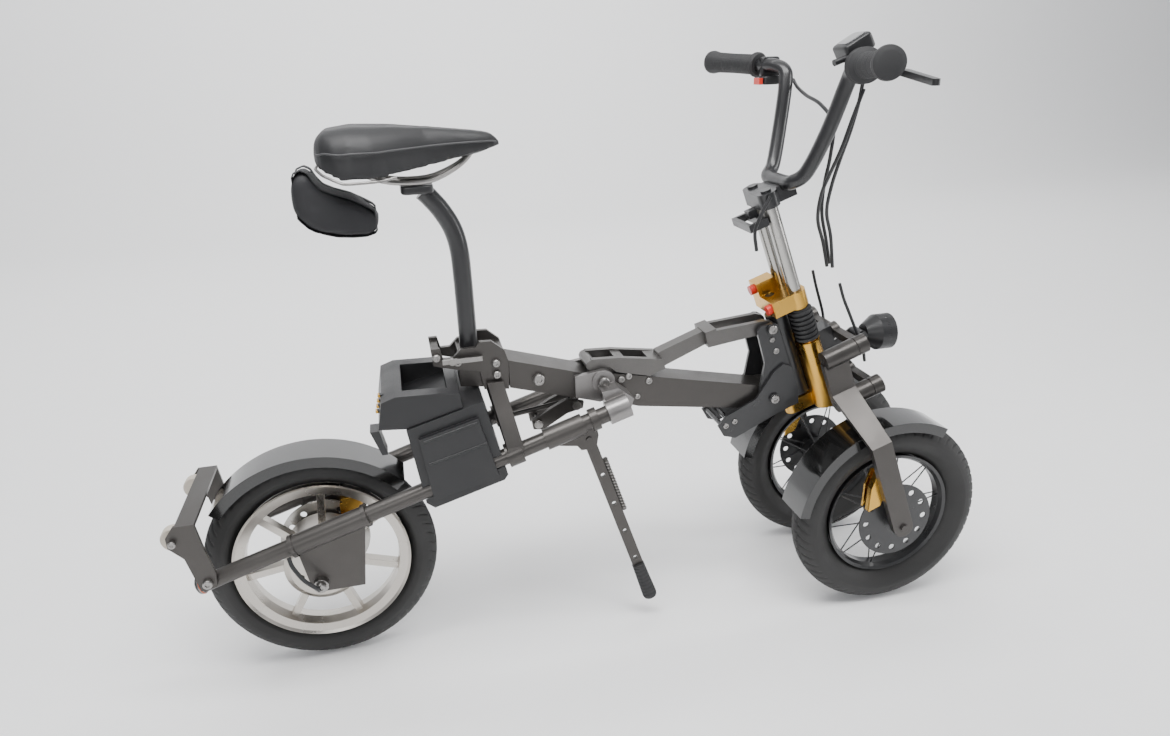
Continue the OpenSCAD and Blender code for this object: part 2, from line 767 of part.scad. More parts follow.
module rocker(s, t) {
    placed() in_head() difference() {
        union() {
            translate([t, 0, s]) rotate([0, 90, 0]) cylinder(r = 14, h = 12);
            translate([t, -lean_y, s - 7]) cube([12, 2 * lean_y, 14]);
            for (y = [-lean_y, lean_y]) translate([t - 2, y, s]) rotate([0, 90, 0])
                cylinder(r = pivot_r, h = 18);
        }
        for (y = [-lean_y, 0, lean_y]) translate([t - 10, y, s]) rotate([0, 90, 0])
            cylinder(r = y == 0 ? 6 : pivot_pin_r + gap, h = 40);
    }
}

module rocker_upper() {
    color("gray") rocker(pivot_high, 50);
}

module rocker_lower() {
    color("gray") rocker(pivot_low, 58);
}

module blade(side) {
    y = side * lean_y;
    placed() in_head() {
        difference() {
            union() {
                for (s = [pivot_high, pivot_low]) translate([-8, y, s]) rotate([0, 90, 0])
                    cylinder(r = pivot_r, h = s > 0 ? 55 : 63);
                translate([-12, y - 6, 14]) cube([42, 12, 60]);
                hull() {
                    translate([-12, y - 6, 16]) cube([42, 12, 2]);
                    translate([-8, side * blade_out_y - 6, -48]) cube([34, 12, 2]);
                }
                translate([-8, side * blade_out_y - 6, axle_s]) cube([34, 12, -axle_s - 46]);
                translate([axle_t, side * blade_out_y - 6, axle_s]) rotate([-90, 0, 0])
                    cylinder(r = 17, h = 12);
            }
            translate([axle_t, side * blade_out_y - 10, axle_s]) rotate([-90, 0, 0])
                cylinder(r = 6, h = 20);
            for (s = [pivot_high, pivot_low]) translate([-20, y, s]) rotate([0, 90, 0])
                cylinder(r = pivot_pin_r, h = 100);
        }
        for (s = [pivot_high, pivot_low]) translate([-7, y, s]) rotate([0, 90, 0])
            cylinder(r = pivot_pin_r - 0.01, h = s > 0 ? 74 : 82);
        translate([axle_t, min(side * 86, side * 176), axle_s]) rotate([-90, 0, 0])
            cylinder(r = 5.95, h = 90);
    }
}

module caliper(side) {
    y = side * wheel_y;
    placed() for (part = [0, 1]) {
        low = part == 0 ? y + side * 38 : y + side * 26;
        high = part == 0 ? y + side * 48.9 : y + side * 30;
        side_plate(min(low, high), max(low, high))
            polygon([[852, 196], [872, 204], [884, 236], [878, 262], [862, 262], [854, 236]]);
    }
}

module caliper_right() {
    color("goldenrod") caliper(-1);
}

module caliper_left() {
    color("goldenrod") caliper(1);
}

module blade_right() {
    color("gray") blade(-1);
}

module blade_left() {
    color("gray") blade(1);
}

module front_wheel(side) {
    y = side * wheel_y;
    z = front_tyre_r;
    placed() {
        difference() {
            union() {
                turned(wheelbase, y, z) polygon([[102, -14], [front_rim_r, -16], [front_rim_r, -13],
                    [104, -10], [104, 10], [front_rim_r, 13], [front_rim_r, 16], [102, 14],
                    [98, 8], [98, -8]]);
                turned(wheelbase, y, z) polygon([[6, -22], [24, -22], [24, -18], [14, -16], [14, 16],
                    [24, 18], [24, 22], [6, 22]]);
            }
            cross_bar(wheelbase, z, y - 50, y + 50, 6);
        }
        for (i = [0 : wire_spoke_count - 1]) let (a = i * 360 / wire_spoke_count, lean = i % 2 == 0 ? 1 : -1)
            bar([wheelbase + 22 * cos(a), y + lean * 19.5, z + 22 * sin(a)],
                [wheelbase + 98.5 * cos(a + lean * 9), y + lean * 4, z + 98.5 * sin(a + lean * 9)], 1.1);
        difference() {
            cross_bar(wheelbase, z, y + side * 34 - 1, y + side * 34 + 1, disc_r);
            cross_bar(wheelbase, z, y + side * 34 - 5, y + side * 34 + 5, 20);
            for (i = [0 : 11]) translate([wheelbase, y + side * 34, z]) rotate([0, i * 30, 0])
                translate([52, 0, 0]) rotate([90, 0, 0]) cylinder(r = 5, h = 10, center = true);
        }
        difference() {
            cross_bar(wheelbase, z, side > 0 ? y + 22.05 : y - 35.5, side > 0 ? y + 35.5 : y - 22.05, 19.9);
            cross_bar(wheelbase, z, y - 60, y + 60, 6);
        }
    }
}

module front_wheel_right() {
    color([0.2, 0.2, 0.2]) front_wheel(-1);
}

module front_wheel_left() {
    color([0.2, 0.2, 0.2]) front_wheel(1);
}

module front_tyre(side) {
    half = front_tyre_w / 2;
    placed() turned(wheelbase, side * wheel_y, front_tyre_r) difference() {
        union() {
            translate([front_tyre_r - half, 0]) circle(half);
            polygon([[104.2, -8.5], [107.3, -11.5], [110, -17], [130, -27], [130, 27],
                [110, 17], [107.3, 11.5], [104.2, 8.5]]);
        }
        translate([front_tyre_r - half, 0]) circle(half - 5);
    }
}

module tyre_right() {
    color([0.04, 0.04, 0.04]) front_tyre(-1);
}

module tyre_left() {
    color([0.04, 0.04, 0.04]) front_tyre(1);
}

module mudguard(side) {
    placed() translate([wheelbase, side * wheel_y, front_tyre_r]) rotate([90, 0, 0])
        mudguard_band(169, 2.5, 33, 62, 170);
}

module mudguard_right() {
    color([0.03, 0.03, 0.03]) mudguard(-1);
}

module mudguard_left() {
    color([0.03, 0.03, 0.03]) mudguard(1);
}

// ---------- drawing ----------

rails();
axle_sleeves();
tail_bracket();
seat_block();
seat_struts();
rear_beam();
hinge_bracket();
link_plate();
battery_case();
battery_handle();
rear_mudguard();
rear_caliper();
motor_cable();
frame_bolts();
kickstand_clamp();
trolley_wheel_right();
trolley_wheel_left();
rear_rim();
hub_motor();
rear_tyre();
rear_disc();
kickstand_leg();
seatpost();
saddle_shell();
saddle_pad();
saddle_bag();
seat_lever();
front_beam();
top_link();
head_block();
lower_bracket();
gold_legs();
gold_clamps();
bellows();
lean_yoke();
steering_cables();
release_buttons();
stem_tubes();
stem_clamp();
handlebar();
grip_left();
bar_controls();
bar_cables();
throttle_grip();
brake_lever_right();
brake_lever_left();
switch_button();
headlight();
rocker_upper();
rocker_lower();
blade_right();
blade_left();
front_wheel_right();
front_wheel_left();
tyre_right();
tyre_left();
mudguard_right();
mudguard_left();
caliper_right();
caliper_left();
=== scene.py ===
import math
import bmesh
import bpy
import numpy as np
from mathutils import Matrix, Vector


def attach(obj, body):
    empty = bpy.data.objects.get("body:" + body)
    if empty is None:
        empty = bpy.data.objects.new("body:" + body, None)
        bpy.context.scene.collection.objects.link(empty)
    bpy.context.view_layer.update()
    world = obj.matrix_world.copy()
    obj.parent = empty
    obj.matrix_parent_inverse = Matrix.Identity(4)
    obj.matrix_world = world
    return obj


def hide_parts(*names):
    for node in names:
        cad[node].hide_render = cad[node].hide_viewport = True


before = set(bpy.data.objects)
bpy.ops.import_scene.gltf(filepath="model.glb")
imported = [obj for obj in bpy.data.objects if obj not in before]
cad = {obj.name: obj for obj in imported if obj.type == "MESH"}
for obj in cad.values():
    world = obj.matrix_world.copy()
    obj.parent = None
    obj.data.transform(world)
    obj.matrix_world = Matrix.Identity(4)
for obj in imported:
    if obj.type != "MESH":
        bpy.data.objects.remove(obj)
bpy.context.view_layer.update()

# Where things are counted from: the rear axle is this far behind the middle of the box.
REAR_AXLE = -0.43575

# ---------------------------------------------------------------- camera, light and floor
# A hand-held view from the rider's right, a little above the saddle.
yaw, pitch, roll = math.radians(12.569), math.radians(20.959), math.radians(-2.219)
level = Vector((math.sin(yaw), math.cos(yaw), 0.0))
side0 = Vector((math.cos(yaw), -math.sin(yaw), 0.0))
look = level * math.cos(pitch) - Vector((0, 0, math.sin(pitch)))
up0 = Vector((0, 0, math.cos(pitch))) + level * math.sin(pitch)
right = side0 * math.cos(roll) + up0 * math.sin(roll)
up = up0 * math.cos(roll) - side0 * math.sin(roll)
lens = bpy.data.cameras.new("camera")
lens.sensor_width = 36.0
lens.lens = 25.475
lens.shift_x = -0.0007
lens.shift_y = 0.002
camera = bpy.data.objects.new("camera", lens)
facing = Matrix((right, up, -look)).transposed().to_4x4()
camera.matrix_world = Matrix.Translation((0.16885 + REAR_AXLE, -1.18627, 0.89795)) @ facing
bpy.context.scene.collection.objects.link(camera)
bpy.context.scene.camera = camera


def softbox(name, place, aim, size, watts):
    """An area lamp at place, turned towards aim."""
    lamp = bpy.data.lights.new(name, "AREA")
    lamp.shape = "RECTANGLE"
    lamp.size, lamp.size_y = size
    lamp.energy = watts
    ob = bpy.data.objects.new(name, lamp)
    ob.location = place
    ob.rotation_euler = (Vector(aim) - Vector(place)).to_track_quat("-Z", "Y").to_euler()
    bpy.context.scene.collection.objects.link(ob)


softbox("ceiling", (-0.2, -0.6, 2.6), (0.0, 0.0, 0.3), (2.6, 0.9), 92)
softbox("near_side", (-1.0, -2.6, 1.5), (0.0, 0.0, 0.4), (1.2, 0.8), 20)
softbox("front_side", (2.4, -0.8, 1.2), (0.3, 0.0, 0.4), (0.6, 1.6), 22)
softbox("back_wall", (0.3, 1.6, 3.6), (0.3, 4.9, 0.9), (7.0, 1.2), 260)
world = bpy.data.worlds.new("studio")
bpy.context.scene.world = world
world.use_nodes = True
world.node_tree.nodes["Background"].inputs[0].default_value = (0.93, 0.95, 1.0, 1)
world.node_tree.nodes["Background"].inputs[1].default_value = 0.42


def finish(name, colour, rough, metal=0.0, spread=0.18, bump=0.25, grain=900.0, depth=0.0002,
           stretch=(1, 1, 1), coat=0.0, edge=0.0007, dust=0.0, slot=None):
    """A painted, cast, brushed or moulded surface: base colour varied by a broad and a fine noise,
    roughness by the broad one, grain by a bump, and edges softened by a bevel."""
    m = bpy.data.materials.new(name)
    m.use_nodes = True
    t = m.node_tree
    n, link = t.nodes, t.links.new
    shader = n["Principled BSDF"]
    where = n.new("ShaderNodeTexCoord")
    place = n.new("ShaderNodeMapping")
    place.inputs["Scale"].default_value = stretch
    link(where.outputs["Object"], place.inputs["Vector"])
    broad = n.new("ShaderNodeTexNoise")
    broad.inputs["Scale"].default_value = 14.0
    broad.inputs["Detail"].default_value = 6.0
    link(where.outputs["Object"], broad.inputs["Vector"])
    fine = n.new("ShaderNodeTexNoise")
    fine.inputs["Scale"].default_value = grain
    fine.inputs["Detail"].default_value = 3.0
    link(place.outputs["Vector"], fine.inputs["Vector"])
    both = n.new("ShaderNodeMath")
    both.operation = "MULTIPLY_ADD"
    both.inputs[1].default_value = 0.55
    link(broad.outputs["Fac"], both.inputs[0])
    half = n.new("ShaderNodeMath")
    half.operation = "MULTIPLY"
    half.inputs[1].default_value = 0.45
    link(fine.outputs["Fac"], half.inputs[0])
    link(half.outputs[0], both.inputs[2])
    ramp = n.new("ShaderNodeValToRGB")
    low = [max(c * (1 - spread), 0) for c in colour]
    high = [min(c * (1 + spread) + dust, 1) for c in colour]
    ramp.color_ramp.elements[0].position = 0.3
    ramp.color_ramp.elements[0].color = (*low, 1)
    ramp.color_ramp.elements[1].position = 0.7
    ramp.color_ramp.elements[1].color = (*high, 1)
    link(both.outputs[0], ramp.inputs["Fac"])
    link(ramp.outputs["Color"], shader.inputs["Base Color"])
    rub = n.new("ShaderNodeMapRange")
    rub.inputs["From Min"].default_value = 0.3
    rub.inputs["From Max"].default_value = 0.7
    rub.inputs["To Min"].default_value = max(rough - 0.08, 0.03)
    rub.inputs["To Max"].default_value = min(rough + 0.1, 1.0)
    link(broad.outputs["Fac"], rub.inputs["Value"])
    link(rub.outputs["Result"], shader.inputs["Roughness"])
    soft = n.new("ShaderNodeBevel")
    soft.samples = 4
    soft.inputs["Radius"].default_value = edge
    dent = n.new("ShaderNodeBump")
    dent.inputs["Strength"].default_value = bump
    dent.inputs["Distance"].default_value = depth
    link(fine.outputs["Fac"], dent.inputs["Height"])
    link(soft.outputs["Normal"], dent.inputs["Normal"])
    link(dent.outputs["Normal"], shader.inputs["Normal"])
    shader.inputs["Metallic"].default_value = metal
    shader.inputs["Coat Weight"].default_value = coat
    shader.inputs["Coat Roughness"].default_value = 0.08
    return m


floor_mesh = bpy.data.meshes.new("floor")
# The floor runs back and sweeps up into a wall: a quarter circle of 1.5 m.
sweep = np.radians(np.linspace(0, 90, 25))
profile = [(-5.0, 0.0)] + [(3.6 + 1.5 * math.sin(q), 1.5 - 1.5 * math.cos(q)) for q in sweep]
profile.append((5.1, 6.0))
corners = [(x, y, z) for y, z in profile for x in (-8.0, 8.0)]
strips = [(2 * i, 2 * i + 1, 2 * i + 3, 2 * i + 2) for i in range(len(profile) - 1)]
floor_mesh.from_pydata(corners, [], strips)
floor_mesh.polygons.foreach_set("use_smooth", [True] * len(strips))
floor = bpy.data.objects.new("floor", floor_mesh)
floor_mesh.materials.append(finish("floor_paint", (0.95, 0.95, 0.95), 0.6, spread=0.01, bump=0.05,
                                   grain=200.0, edge=0.0))
bpy.context.scene.collection.objects.link(floor)


# ---------------------------------------------------------------- cables and hoses
# Black PVC brake and motor cables. They leave the levers, run down in front of the risers and
# past the steering head, and end at the brakes and the lamp.
def through(points, count):
    """A smooth route: a Catmull-Rom curve through the points, count samples on each stretch."""
    p = np.asarray(points, float)
    ends = np.vstack([2 * p[0] - p[1], p, 2 * p[-1] - p[-2]])
    f = np.linspace(0, 1, count, endpoint=False)[:, None, None]
    a, b, c, d = (ends[i:len(ends) - 3 + i][None] for i in range(4))
    curve = 0.5 * (2 * b + (c - a) * f + (2 * a - 5 * b + 4 * c - d) * f**2
                   + (3 * b - a - 3 * c + d) * f**3)
    return np.vstack([curve.transpose(1, 0, 2).reshape(-1, 3), p[-1:]])


def along(path, radius, sides=20):
    """A tube: a circle of the given radius, one number or one per ring, carried along the path,
    standing square to it. Returns a (rings, sides, 3) grid."""
    d = np.gradient(path, axis=0)
    d /= np.linalg.norm(d, axis=1, keepdims=True)
    mean = np.abs(d).mean(0)
    ref = np.eye(3)[int(np.argmin(mean))]
    u = np.cross(d, ref)
    u /= np.linalg.norm(u, axis=1, keepdims=True)
    w = np.cross(d, u)
    a = np.linspace(0, 2 * np.pi, sides, endpoint=False)[None, :, None]
    r = np.broadcast_to(np.asarray(radius, float).reshape(-1, 1, 1), (len(path), 1, 1))
    return path[:, None] + r * (np.cos(a) * u[:, None] + np.sin(a) * w[:, None])


def skin(name, grids, material, body, loop=False, replaces=(), smooth=40):
    """One mesh of several grids, each closed around and capped at its ends, or looped."""
    verts, faces, base = [], [], 0
    for g in grids:
        rows, cols = g.shape[:2]
        verts.append(g.reshape(-1, 3))
        i = np.arange(rows if loop else rows - 1)[:, None]
        j = np.arange(cols)[None]
        k, m = (i + 1) % rows, (j + 1) % cols
        quads = np.stack(np.broadcast_arrays(i * cols + j, i * cols + m, k * cols + m,
                                             k * cols + j), -1).reshape(-1, 4) + base
        faces += quads.tolist()
        if not loop:
            faces.append((base + np.arange(cols)[::-1]).tolist())
            faces.append((base + (rows - 1) * cols + np.arange(cols)).tolist())
        base += rows * cols
    mesh = bpy.data.meshes.new(name)
    mesh.from_pydata(np.vstack(verts).tolist(), [], faces)
    shape = bmesh.new()
    shape.from_mesh(mesh)
    bmesh.ops.recalc_face_normals(shape, faces=shape.faces)
    shape.to_mesh(mesh)
    shape.free()
    mesh.polygons.foreach_set("use_smooth", np.ones(len(mesh.polygons), bool))
    mesh.set_sharp_from_angle(angle=math.radians(smooth))
    mesh.materials.append(material)
    ob = bpy.data.objects.new(name, mesh)
    bpy.context.scene.collection.objects.link(ob)
    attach(ob, body)
    if replaces:
        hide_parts(*replaces)
    return ob


def mm(points):
    """Points in millimetres from the rear axle, as metres in the shared frame."""
    return np.asarray(points, float) / 1000 + (REAR_AXLE, 0, 0)


cable_skin = finish("cable_pvc", (0.012, 0.012, 0.013), 0.38, spread=0.3, grain=1400, bump=0.15)
bar_routes = [
    [[815, -104, 846], [816, -96, 820], [812, -86, 780], [806, -74, 740], [803, -60, 700],
     [806, -46, 660], [820, -38, 620], [828, -36, 570]],
    [[815, -108, 838], [800, -110, 800], [790, -104, 760], [783, -88, 722], [784, -66, 690],
     [792, -46, 650], [812, -30, 610], [824, -26, 570]],
    [[815, 104, 846], [806, 70, 836], [796, 20, 826], [794, -30, 815], [797, -64, 790],
     [798, -60, 745], [800, -44, 700], [806, -32, 655], [822, -22, 610], [832, -18, 572]],
    [[712, -48, 690], [700, -48, 668], [690, -47, 640], [694, -46, 610]],
]
skin("bar_cable_run", [along(through(mm(r), 8), 0.0027) for r in bar_routes], cable_skin, "stem",
     replaces=("bar_cables",))
head_routes = [
    [[838, -44, 545], [846, -46, 520], [856, -50, 495], [866, -54, 470], [876, -62, 445],
     [884, -60, 415]],
    [[838, 44, 545], [846, 46, 520], [856, 50, 495], [866, 54, 470], [876, 62, 445],
     [884, 60, 415]],
]
skin("head_cable_run", [along(through(mm(r), 8), 0.0025) for r in head_routes], cable_skin,
     "steering", replaces=("steering_cables",))
motor_route = [[-36, -94, 236], [-32, -99, 222], [-20, -102, 200], [-6, -102, 184], [-2, -96, 175]]
skin("motor_cable_run", [along(through(mm(motor_route), 8), 0.003)], cable_skin, "rear_frame",
     replaces=("motor_cable",))

# ---------------------------------------------------------------- rear frame
# Aluminium tubes and plates in a dark titanium-grey powder coat with a fine orange-peel grain. The
# plates are sawn and milled, so their edges catch the light.
def paint(material, *names):
    """Gives CAD nodes that material."""
    for name in names:
        cad[name].data.materials.clear()
        cad[name].data.materials.append(material)


titanium = finish("titanium_coat", (0.075, 0.07, 0.066), 0.36, metal=0.75, grain=1600, bump=0.2)
paint(titanium, "rails", "axle_sleeves", "tail_bracket", "seat_block", "seat_struts", "rear_beam",
      "link_plate", "kickstand_clamp", "kickstand_leg", "front_beam", "rocker_upper",
      "rocker_lower", "blade_right", "blade_left")
# The lighter grey pieces: the hinge bracket and the link above the front beam.
light_grey = finish("light_grey_coat", (0.24, 0.23, 0.225), 0.34, metal=0.85, grain=1500, bump=0.2)
paint(light_grey, "hinge_bracket")
paint(finish("link_coat", (0.13, 0.125, 0.12), 0.36, metal=0.8, grain=1500), "top_link")
# The black coated castings round the steering head, and the seatpost.
black_coat = finish("black_coat", (0.014, 0.014, 0.015), 0.34, grain=1500, bump=0.2, coat=0.25)
paint(black_coat, "head_block", "lower_bracket", "lean_yoke", "stem_clamp",
      "brake_lever_right", "brake_lever_left", "front_wheel_right", "front_wheel_left")

# ---------------------------------------------------------------- fasteners and bright pieces
# Zinc plated and stainless screws, pins and levers, slightly dull.
steel = finish("screw_steel", (0.3, 0.29, 0.28), 0.3, metal=1.0, grain=800)
paint(steel, "frame_bolts", "seat_lever", "saddle_shell")
paint(finish("turned_disc", (0.45, 0.44, 0.42), 0.28, metal=1.0, grain=500), "rear_disc")

# ---------------------------------------------------------------- gold anodised pieces
# Milled aluminium, gold anodised: fork legs, their clamps and the front brake calipers.
gold = finish("gold_anodised", (0.62, 0.36, 0.075), 0.27, metal=1.0, spread=0.12, grain=1200,
              bump=0.1)
paint(gold, "gold_legs", "gold_clamps", "caliper_right", "caliper_left", "rear_caliper")

# ---------------------------------------------------------------- rear wheel
# A cast alloy rim with seven spokes round a hub motor.
alloy = finish("cast_alloy", (0.5, 0.47, 0.43), 0.3, metal=1.0, spread=0.1, grain=700, bump=0.15)
paint(alloy, "rear_rim", "hub_motor")

# ---------------------------------------------------------------- tyres
# Moulded rubber tyres. The tread has a centre rib and slanted blocks cut 2 mm deep, and the
# sidewalls carry fine rings.
tyre_rubber = finish("tyre_rubber", (0.016, 0.0155, 0.015), 0.62, spread=0.25, grain=1100,
                     bump=0.35, edge=0.0)


def tyre(name, centre, outer, wide, bead, body, node, blocks):
    """A torus-like grid: round the wheel, and round a rounded section open at the rim. The crown
    is lowered by grooves where a slanted wave of both angles is high."""
    a = np.linspace(0, 2 * np.pi, 720, endpoint=False)[:, None]
    v = np.linspace(0, 1, 84, endpoint=False)[None]
    half = wide / 2
    phi = 2 * np.pi * v
    flat = np.cos(phi)
    r = (outer - half) + half * flat
    y = half * np.sin(phi)
    inward = np.clip(-flat, 0, 1)
    y = y * (1 - 0.42 * inward**1.2)
    r = np.where(flat < 0, (outer - half) + (bead - outer + half) * inward, r)
    crown = np.clip((flat - 0.35) / 0.2, 0, 1)
    wave = np.sin(blocks * a + 9 * np.sin(phi))
    cut = np.clip((wave - 0.72) / 0.12, 0, 1) * np.clip((np.abs(np.sin(phi)) - 0.12) / 0.05, 0, 1)
    ring = np.clip((0.035 - np.abs(np.abs(np.sin(phi)) - 0.3)) / 0.012, 0, 1)
    depth = 0.0018 * crown * np.maximum(cut, ring)
    lines = 0.0004 * np.clip(np.sin(phi * 34), 0, 1) * (flat < 0.3) * (flat > -0.6)
    rr = r - depth
    yy = y * (1 - lines / half)
    x = centre[0] + rr * np.cos(a)
    z = centre[2] + rr * np.sin(a)
    grid = np.stack([x, centre[1] + yy + 0 * a, z], -1)
    skin(name, [grid], tyre_rubber, body, loop=True, replaces=(node,), smooth=30)


REAR_R, FRONT_R, WHEELBASE = 0.175, 0.1635, 0.911
tyre("rear_tyre_tread", (REAR_AXLE, 0, REAR_R), REAR_R, 0.0496, 0.129, "rear_wheel",
     "rear_tyre", 60)
for label, side_y in (("right", -0.111), ("left", 0.111)):
    tyre(label + "_tyre_tread", (WHEELBASE + REAR_AXLE, side_y, FRONT_R), FRONT_R, 0.0576, 0.1045,
         "wheel_" + label, "tyre_" + label, 56)

# ---------------------------------------------------------------- mudguards
# Glossy black moulded plastic.
gloss = finish("gloss_black", (0.006, 0.006, 0.006), 0.12, spread=0.3, grain=500, bump=0.03,
               coat=0.6, edge=0.001)
paint(gloss, "rear_mudguard", "mudguard_right", "mudguard_left")

# ---------------------------------------------------------------- battery
# A black ABS case with a fine spark-eroded grain; its top frame is the carrying handle.
shell_black = finish("battery_abs", (0.011, 0.011, 0.012), 0.42, spread=0.25, grain=1800,
                     bump=0.35, depth=0.00025)
paint(shell_black, "battery_case", "battery_handle", "bar_controls", "headlight")

# Lengthwise ridges pressed in the near and far faces, and four gilt contacts in the handle.
ridges = []
for side in (-1, 1):
    for line in ([[172, 388], [250, 408]], [[176, 352], [262, 374]]):
        flank = mm([[line[0][0], side * 91.6, line[0][1]], [line[1][0], side * 91.6, line[1][1]]])
        ridges.append(along(through(flank, 12), 0.0018, 12))
skin("battery_ridges", ridges, shell_black, "rear_frame")
contact_rows = [[[111.6 + i * 1.9, -50.5, 426 + i * 8], [111.6 + i * 1.9, -41.5, 426 + i * 8]]
                for i in range(4)]
skin("battery_contacts", [along(mm(row), 0.0021, 16) for row in contact_rows], gold, "rear_frame")

# ---------------------------------------------------------------- saddle
# A moulded foam saddle in a vinyl cover: flared at the back, a narrow nose, sides that
# drop over the base. The foam is plumped by a cloth run, then its folds are smoothed.
def puffed(ob, cell, most):
    """Remeshes a closed piece to even cells, blows it up as cloth for 20 frames without gravity,
    keeps each point within the distance most of where it was, and smooths it once."""
    scene = bpy.context.scene
    bpy.context.view_layer.objects.active = ob
    even = ob.modifiers.new("even", "REMESH")
    even.mode = "VOXEL"
    even.voxel_size = cell
    even.use_smooth_shade = True
    with bpy.context.temp_override(object=ob, active_object=ob):
        bpy.ops.object.modifier_apply(modifier="even")
    count = len(ob.data.vertices)
    before = np.empty(count * 3)
    ob.data.vertices.foreach_get("co", before)
    cloth = ob.modifiers.new("cloth", "CLOTH")
    cloth.settings.quality = 6
    cloth.settings.tension_stiffness = 20
    cloth.settings.compression_stiffness = 20
    cloth.settings.use_pressure = True
    cloth.settings.uniform_pressure_force = 4
    cloth.settings.effector_weights.gravity = 0
    cloth.point_cache.frame_start = 1
    cloth.point_cache.frame_end = 20
    for frame_number in range(1, 21):
        scene.frame_set(frame_number)
    moved = ob.evaluated_get(bpy.context.evaluated_depsgraph_get()).to_mesh()
    after = np.empty(count * 3)
    moved.vertices.foreach_get("co", after)
    ob.modifiers.remove(cloth)
    scene.frame_set(1)
    step = (after - before).reshape(-1, 3)
    size = np.linalg.norm(step, axis=1, keepdims=True)
    step *= np.minimum(1, most / np.maximum(size, 1e-9))
    ob.data.vertices.foreach_set("co", (before.reshape(-1, 3) + step).ravel())
    ob.data.update()
    fine = ob.modifiers.new("fine", "SUBSURF")
    fine.levels = 1
    fine.render_levels = 1
    with bpy.context.temp_override(object=ob, active_object=ob):
        bpy.ops.object.modifier_apply(modifier="fine")


def squared(wave, power):
    """A sine or cosine made boxier: its size raised to a power below one, its sign kept."""
    return np.sign(wave) * np.abs(wave) ** power


cover = finish("saddle_vinyl", (0.012, 0.012, 0.013), 0.5, spread=0.2, grain=1500, bump=0.4,
               depth=0.0003, edge=0.0)
SADDLE_BACK, SADDLE_LONG = 0.0725, 0.251
length = np.linspace(0, 1, 90)[:, None]
turn = np.linspace(0, 2 * np.pi, 96, endpoint=False)[None]
half_w = np.interp(length, [0, 0.015, 0.05, 0.11, 0.19, 0.3, 0.45, 0.6, 0.75, 0.9, 0.97, 1.0],
                   [0.012, 0.038, 0.058, 0.071, 0.0765, 0.073, 0.056, 0.038, 0.028, 0.022, 0.015,
                    0.005])
top = np.interp(length, [0, 0.02, 0.07, 0.2, 0.4, 0.65, 0.85, 0.95, 1],
                [0.788, 0.803, 0.815, 0.8195, 0.8175, 0.811, 0.8045, 0.8, 0.789])
low = np.interp(length, [0, 0.05, 0.15, 0.35, 0.55, 0.75, 0.9, 1],
                [0.772, 0.764, 0.7535, 0.7535, 0.762, 0.771, 0.777, 0.782])
across, upward = np.cos(turn), np.sin(turn)
outside = upward >= 0
dip = 0.0035 * np.exp(-(np.abs(across) / 0.16) ** 2) * np.clip(np.sin(np.pi * length), 0, 1)
y_out = half_w * squared(across, 0.55)
z_out = low + (top - low) * np.abs(upward) ** 0.8 - dip * outside
foam = np.minimum(0.011, half_w * 0.5)
y_in = (half_w - foam) * squared(across, 0.55)
z_in = low + np.maximum(top - 0.034 - low, 0.001) * np.abs(upward) ** 0.6
grid = np.stack([(SADDLE_BACK + length * SADDLE_LONG) + 0 * turn + REAR_AXLE,
                 np.where(outside, y_out, y_in), np.where(outside, z_out, z_in)], -1)
saddle = skin("saddle_cover", [grid], cover, "seat", replaces=("saddle_pad",))
puffed(saddle, 0.0045, 0.002)


def beside_saddle(part, outward, side, height):
    """Points beside the cover: at that part of its length, outward of its half width, at height."""
    wide = np.interp(part, length[:, 0], half_w[:, 0]) + outward
    return np.stack([SADDLE_BACK + part * SADDLE_LONG + REAR_AXLE, side * wide, height], -1)


# A piped seam along each flank of the cover.
piping = finish("saddle_piping", (0.05, 0.05, 0.052), 0.5, spread=0.2, grain=1200, edge=0.0)
seam_part = np.linspace(0.03, 0.97, 60)
seam_z = np.interp(seam_part, length[:, 0], (low + (top - low) * 0.55)[:, 0])
for label, side in (("right", -1), ("left", 1)):
    seam = along(beside_saddle(seam_part, 0.0012, side, seam_z), 0.0013, 12)
    skin("saddle_seam_" + label, [seam], piping, "seat")

# A bright trim strip round the back of the base.
back_part = np.concatenate([np.linspace(0.42, 0.012, 50), np.linspace(0.012, 0.42, 50)])
back_side = np.repeat([-1.0, 1.0], 50)
back_z = np.interp(back_part, length[:, 0], low[:, 0]) - 0.0008
skin("saddle_trim", [along(beside_saddle(back_part, -0.001, back_side, back_z), 0.0019, 14)],
     steel, "seat")

# ---------------------------------------------------------------- saddle bag
# A soft nylon pouch under the saddle, plumped by a cloth run and creased where it hangs, with a
# webbing strap round each side.
nylon = finish("bag_nylon", (0.012, 0.012, 0.014), 0.66, spread=0.35, grain=2600, bump=0.6,
               depth=0.0004, edge=0.0)
webbing = finish("bag_webbing", (0.03, 0.03, 0.032), 0.75, spread=0.4, grain=900, bump=0.9,
                 depth=0.0005, stretch=(1, 6, 1), edge=0.0)
bag_x = np.array([39.0, 41, 46, 56, 64, 70, 78, 92, 112, 130, 141, 146, 148])
bag_top = np.array([735.0, 752, 764, 768, 764, 752, 742, 735, 728, 718, 711, 705, 698])
bag_low = np.array([722.0, 712, 704, 693, 688, 686, 683, 679, 677, 677, 680, 686, 694])
bag_y = np.array([20.0, 34, 39, 42, 43, 44, 45, 45, 45, 43, 40, 34, 22])
BOXY = 0.45
back_on = np.linspace(bag_x[0], bag_x[-1], 70)[:, None]
turn = np.linspace(0, 2 * np.pi, 72, endpoint=False)[None]
middle = np.interp(back_on, bag_x, (bag_top + bag_low) / 2)
half_high = np.interp(back_on, bag_x, (bag_top - bag_low) / 2)
half_wide = np.interp(back_on, bag_x, bag_y)
crease = 1.3 * np.sin(back_on / 7.0 + 3 * np.cos(turn)) * np.cos(2 * turn + back_on / 19)
